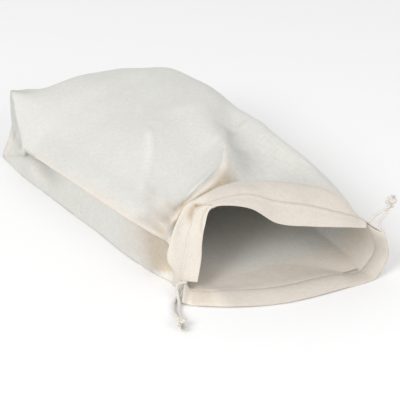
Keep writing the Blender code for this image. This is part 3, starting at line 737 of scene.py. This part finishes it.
def cloth_layers():
    """Work out both layers with their folds, sharing the seams' points as far as the channels."""
    along = rows_along()
    early = eased((along - NEAR_SIDE_WARM[0]) / NEAR_SIDE_WARM[1])[:, None]
    late = eased((along - MOUTH_WARM[0]) / MOUTH_WARM[1])[:, None]
    layers = []
    for name, (table, edge_ends, columns, up) in LAYERS.items():
        across = columns_across(name, columns[-1])
        grid = layer_grid(table, edge_ends, columns, across, along)
        tone_and_shading = np.zeros(grid.shape[:2] + (2,))
        tone_and_shading[..., 0] = late
        if name == "bottom":
            tone_and_shading[..., 0] += (early - late) * eased((NEAR_SIDE[0] - across) / NEAR_SIDE[1])
            # Painted shade on the lower layer's wall
            tone_and_shading[..., 1] = WALL_PAINTED_SHADE * eased(across / WALL_START) * eased((WALL_END - across) / WALL_FADE)
        grid, tone_and_shading = press_folds(grid, across * up, along, up, tone_and_shading)
        waves = sum(height * ripples(across, along, *wave, seed + up) for height, *wave, seed in WAVES)
        fade = np.minimum(eased(across / WAVE_FADE), eased((across[-1] - across) / WAVE_FADE))
        grid += outward(grid, up) * (waves * fade)[..., None]
        layers.append((grid, across, tone_and_shading))
    top, bottom = (layer[0] for layer in layers)
    sewn = along <= SECTIONS["stitch"] + CLOSE
    bottom[sewn, 0], bottom[sewn, -1] = top[sewn, 0], top[sewn, -1]
    for grid in (top, bottom):
        grid[..., 2] = np.maximum(grid[..., 2], 0)
    return *layers, along


def add_object(name, data):
    """Put a new object into the scene."""
    made = bpy.data.objects.new(name, data)
    bpy.context.scene.collection.objects.link(made)
    return made


def add_mesh(name, mesh, material):
    """Turn a bmesh into a named object of one material."""
    data = bpy.data.meshes.new(name)
    mesh.to_mesh(data)
    mesh.free()
    data.materials.append(material)
    return add_object(name, data)


def finish_piece(name, mesh, material):
    """Turn a bmesh into a smooth piece that rides with the bag."""
    piece = add_mesh(name, mesh, material)
    piece.data.shade_smooth()
    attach(piece, "root")
    return piece


def cord_line(route):
    """Points in metres along a smooth curve through a cord's route, evenly apart."""
    corners = np.array(route, float) * MM
    knots = distances(corners)
    steps = round(knots[-1] / (CORD_STEP * MM))
    return smooth_line(corners, knots, np.linspace(0, knots[-1], steps + 1))


def sweep_cord(mesh, points, radius, twist, plies=3, sides=18, taper=0.0):
    """Sweep a ring of plies along a line of points, turning it as it goes, and close its ends."""
    groove = mesh.verts.layers.float["groove"]
    ring = bmesh.ops.create_circle(mesh, cap_ends=False, segments=sides, radius=1)["verts"]
    for index, vertex in enumerate(ring):
        dip = 0.5 - 0.5 * cos(plies * tau * index / sides)
        vertex[groove] = dip ** 2
        reach = PLY_CREST + (PLY_GROOVE - PLY_CREST) * dip ** 1.5
        vertex.co = vertex.co.normalized() * radius * reach
    points = [Vector(point) for point in points]
    heading = (points[1] - points[0]).normalized()
    turn = heading.to_track_quat("Z", "Y")
    place = Matrix.Translation(points[0]) @ turn.to_matrix().to_4x4()
    bmesh.ops.transform(mesh, matrix=place, verts=ring)
    edges = list(dict.fromkeys(edge for vertex in ring for edge in vertex.link_edges))
    first_edges = edges
    size = 1 - taper / len(points)
    for index in range(1, len(points)):
        ahead = points[min(index + 1, len(points) - 1)] - points[index - 1]
        swing = heading.rotation_difference(ahead.normalized())
        heading = ahead.normalized()
        step = (points[index] - points[index - 1]).length
        spin = Quaternion(heading, tau * step / twist)
        made = bmesh.ops.extrude_edge_only(mesh, edges=edges)["geom"]
        fresh = {item for item in made if isinstance(item, bmesh.types.BMVert)}
        edges = [item for item in made if isinstance(item, bmesh.types.BMEdge)]
        edges = [edge for edge in edges if fresh.issuperset(edge.verts)]
        move = Matrix.Translation(points[index]) @ (spin @ swing).to_matrix().to_4x4()
        move = move @ Matrix.Scale(size, 4) @ Matrix.Translation(-points[index - 1])
        bmesh.ops.transform(mesh, matrix=move, verts=list(fresh))
    for rim in (first_edges, edges):
        bmesh.ops.edgeloop_fill(mesh, edges=rim)


def new_cord_mesh():
    """Start a mesh that keeps how deep each point lies between the plies."""
    mesh = bmesh.new()
    mesh.verts.layers.float.new("groove")
    return mesh


def knot_points(root, turn):
    """Points along a tight overhand knot behind its root, with both ends running through it."""
    size = KNOT_SIZE * MM
    points = []
    for step in range(KNOT_STEPS + 1):
        angle = tau * step / KNOT_STEPS
        local = Vector((
            (sin(angle) + 2 * sin(2 * angle)) * KNOT_WIDTH,
            (cos(angle) - 2 * cos(2 * angle)) * KNOT_WIDTH,
            -sin(3 * angle) + 0.12 * cos(angle),
        ))
        point = root + turn @ (local * size + Vector((0, 0, KNOT_BACK * size)))
        point.z = max(point.z, size)
        points.append(point)
    return points


class BREADBAG_OT_stage(bpy.types.Operator):
    """Add the camera, the light and the plain floor"""

    bl_idname = "breadbag.stage"
    bl_label = "Add Stage"

    def execute(self, context):
        scene = context.scene
        settings = scene.bread_bag_stage
        azimuth, elevation = settings.azimuth, settings.elevation
        back = Vector((sin(azimuth) * cos(elevation), -cos(azimuth) * cos(elevation), sin(elevation)))
        camera = add_object("photo_camera", bpy.data.cameras.new("photo_camera"))
        camera.data.lens = LENS
        camera.location = Vector(CAMERA_TARGET) + back * settings.distance
        camera.rotation_euler = back.to_track_quat("Z", "Y").to_euler()
        scene.camera = camera
        scene.view_settings.view_transform = "Standard"
        world = bpy.data.worlds.new("studio")
        world.use_nodes = True
        sky = world.node_tree.nodes["Background"]
        sky.inputs["Color"].default_value = (1.0, 1.0, 1.0, 1.0)
        sky.inputs["Strength"].default_value = settings.ambient
        scene.world = world
        self.add_light("main_light", *MAIN_LIGHT, settings.key_power)
        self.add_light("fill_light", *FILL_LIGHT, settings.fill_power)
        mesh = bmesh.new()
        bmesh.ops.create_grid(mesh, x_segments=1, y_segments=1, size=FLOOR_SIZE)
        bmesh.ops.translate(mesh, verts=mesh.verts, vec=(0, 0, -FLOOR_DEPTH))
        material, surface, _ = start_material("plain_floor", 0.9, specular=0.1)
        surface["Base Color"].default_value = rgba(settings.floor_colour)
        add_mesh("floor", mesh, material)
        return {"FINISHED"}

    def add_light(self, name, place, size, power):
        """Add one large soft light that faces the bag."""
        data = bpy.data.lights.new(name, "AREA")
        data.shape, data.size, data.energy = "DISK", size, power
        light = add_object(name, data)
        light.location = place
        light.rotation_euler = Vector(place).to_track_quat("Z", "Y").to_euler()


class BREADBAG_OT_knots(bpy.types.Operator):
    """Add the two knots with their frayed ends"""

    bl_idname = "breadbag.knots"
    bl_label = "Add Knots"

    def execute(self, context):
        settings = context.scene.bread_bag_cord
        material = cord_material("knotted_cotton_cord", settings.colour)
        for name, (start, direction, seed) in KNOTS.items():
            mesh = new_cord_mesh()
            root = Vector(start) * MM
            turn = Vector(direction).normalized().to_track_quat("Z", "Y")
            sweep_cord(mesh, knot_points(root, turn), settings.diameter / 2 * KNOT_SWELL, settings.twist)
            self.add_fibres(mesh, root, turn, settings.fibres, Random(seed))
            piece = finish_piece(name.replace("knot_", "tied_knot_"), mesh, material)
            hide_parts(name)
        return {"FINISHED"}

    def add_fibres(self, mesh, root, turn, count, random):
        """Add the loose fibres of both cut ends, spreading from the back of the knot."""
        for _ in range(count):
            angle = random.uniform(0, tau)
            at = Vector((cos(angle), sin(angle), 0)) * random.uniform(0, 1) ** 0.5
            length = random.uniform(*FIBRE_LENGTHS) * MM
            bend = Vector((random.uniform(-1, 1), random.uniform(-1, 1), 0)) * FIBRE_BEND * MM
            line = []
            for step in range(6):
                share = step / 5
                place = at * (FIBRE_APART + FIBRE_GROWTH * share ** 1.5) * MM + bend * share ** 2
                place.z = FIBRE_START * MM + length * share
                point = root + turn @ place
                point.z = max(point.z, FIBRE_LOWEST * MM)
                line.append(point)
            sweep_cord(mesh, line, FIBRE_RADIUS * MM, 1.0, plies=2, sides=5, taper=0.5)


class BREADBAG_OT_cords(bpy.types.Operator):
    """Add the four strands of the drawcords"""

    bl_idname = "breadbag.cords"
    bl_label = "Add Drawcords"

    def execute(self, context):
        settings = context.scene.bread_bag_cord
        material = cord_material("twisted_cotton_cord", settings.colour)
        for node, route in CORD_ROUTES.items():
            points = cord_line(route)
            mesh = new_cord_mesh()
            sweep_cord(mesh, points, settings.diameter / 2, settings.twist)
            piece = finish_piece(node.replace("drawcord_", "twisted_cord_"), mesh, material)
            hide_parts(node)
        return {"FINISHED"}


class BREADBAG_OT_cloth(bpy.types.Operator):
    """Add the folded, sewn and hemmed cloth of the bag"""

    bl_idname = "breadbag.cloth"
    bl_label = "Add Bag Cloth"

    def execute(self, context):
        settings = context.scene.bread_bag_cloth
        upper, lower, along = cloth_layers()
        mesh = bmesh.new()
        mesh.verts.layers.float.new("warmth")
        mesh.verts.layers.float.new("shade")
        mesh.loops.layers.uv.new("cloth")
        for layer, up in ((upper, 1), (lower, -1)):
            add_cloth_grid(mesh, *with_hem(*layer, up, along))
        base = base_grid(upper[0], lower[0])
        middle = upper[1][SIDE_FACES:SIDE_FACES + MIDDLE_FACES + 1]
        down = -np.linspace(BASE_HEIGHT, 0, BASE_FACES_UP + 1)
        # Painted shade on the base by its near corner seam, fading across the base
        base_tone_and_shading = np.zeros(base.shape[:2] + (2,))
        base_tone_and_shading[..., 1] = np.linspace(1, 0, MIDDLE_FACES + 1) ** BASE_PAINTED_SHADE_FADE
        add_cloth_grid(mesh, base, middle, down, base_tone_and_shading)
        bmesh.ops.remove_doubles(mesh, verts=mesh.verts, dist=CLOSE * MM)
        bmesh.ops.recalc_face_normals(mesh, faces=mesh.faces)
        mesh.normal_update()
        highest = max(mesh.verts, key=lambda vertex: vertex.co.z)
        if highest.link_faces[0].normal.z < 0:
            bmesh.ops.reverse_faces(mesh, faces=mesh.faces)
        cloth = finish_piece("hemmed_cotton_bag", mesh, cloth_material(settings))
        solidify = cloth.modifiers.new("Cloth thickness", "SOLIDIFY")
        solidify.thickness = settings.thickness
        solidify.offset = -1.0
        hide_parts("bag_body")
        return {"FINISHED"}


class BREADBAG_OT_stitches(bpy.types.Operator):
    """Add the rows of stitches that hold the channels"""

    bl_idname = "breadbag.stitches"
    bl_label = "Add Stitches"

    def execute(self, context):
        upper, lower, along = cloth_layers()
        mesh = bmesh.new()
        for (grid, *_), up in ((upper, 1), (lower, -1)):
            line = smooth_line(grid, along, [STITCH_LINE])[0]
            out = smooth_line(outward(grid, up), along, [STITCH_LINE])[0]
            self.add_row(mesh, line, out)
        stitches = finish_piece("hem_stitches", mesh, thread_material())
        return {"FINISHED"}

    def add_row(self, mesh, line, out):
        """Add even stitches along a line on the cloth, each one a short raised thread."""
        knots = distances(line)
        for index in range(1, int(knots[-1] / STITCH_PITCH)):
            middle = index * STITCH_PITCH
            ends = smooth_line(line, knots, (middle - STITCH_LENGTH / 2, middle + STITCH_LENGTH / 2))
            normal = Vector(smooth_line(out, knots, [middle])[0])
            run = Vector(ends[1] - ends[0])
            centre = (Vector(ends[0]) + Vector(ends[1])) / 2 - normal * STITCH_SUNK
            if centre.z < STITCH_LOWEST:
                continue
            turn = run.to_track_quat("Z", "Y").to_matrix().to_4x4()
            sizes = Vector((STITCH_RADIUS, STITCH_RADIUS, run.length / 2)) * MM
            shape = Matrix.Translation(centre * MM) @ turn @ Matrix.Diagonal((*sizes, 1))
            bmesh.ops.create_uvsphere(mesh, u_segments=6, v_segments=5, radius=1, matrix=shape)


class BREADBAG_PT_panel(bpy.types.Panel):
    """The bag's pieces in the sidebar"""

    bl_label = "Bread Bag"
    bl_idname = "BREADBAG_PT_panel"
    bl_space_type = "VIEW_3D"
    bl_region_type = "UI"
    bl_category = "Bread Bag"

    def draw(self, context):
        for name, _, operators in PARTS:
            box = self.layout.box()
            settings = getattr(context.scene, name)
            for field in settings.__annotations__:
                box.prop(settings, field)
            for operator in operators:
                box.operator(operator.bl_idname)


# Parts of the scene: the name of their settings, the settings, and their operators
PARTS = (
    ("bread_bag_stage", BreadBagStage, (BREADBAG_OT_stage,)),
    ("bread_bag_cord", BreadBagCord, (BREADBAG_OT_knots, BREADBAG_OT_cords)),
    ("bread_bag_cloth", BreadBagCloth, (BREADBAG_OT_cloth, BREADBAG_OT_stitches)),
)
CLASSES = [made for _, settings, operators in PARTS for made in (settings, *operators)]
CLASSES.append(BREADBAG_PT_panel)


def register():
    for made in CLASSES:
        bpy.utils.register_class(made)
    for name, settings, _ in PARTS:
        setattr(bpy.types.Scene, name, PointerProperty(type=settings))


def unregister():
    for name, *_ in PARTS:
        delattr(bpy.types.Scene, name)
    for made in reversed(CLASSES):
        bpy.utils.unregister_class(made)


def main():
    """Register the add-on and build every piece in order."""
    register()
    bpy.ops.breadbag.stage()
    bpy.ops.breadbag.knots()
    bpy.ops.breadbag.cords()
    bpy.ops.breadbag.cloth()
    bpy.ops.breadbag.stitches()


if __name__ == "__main__":
    main()
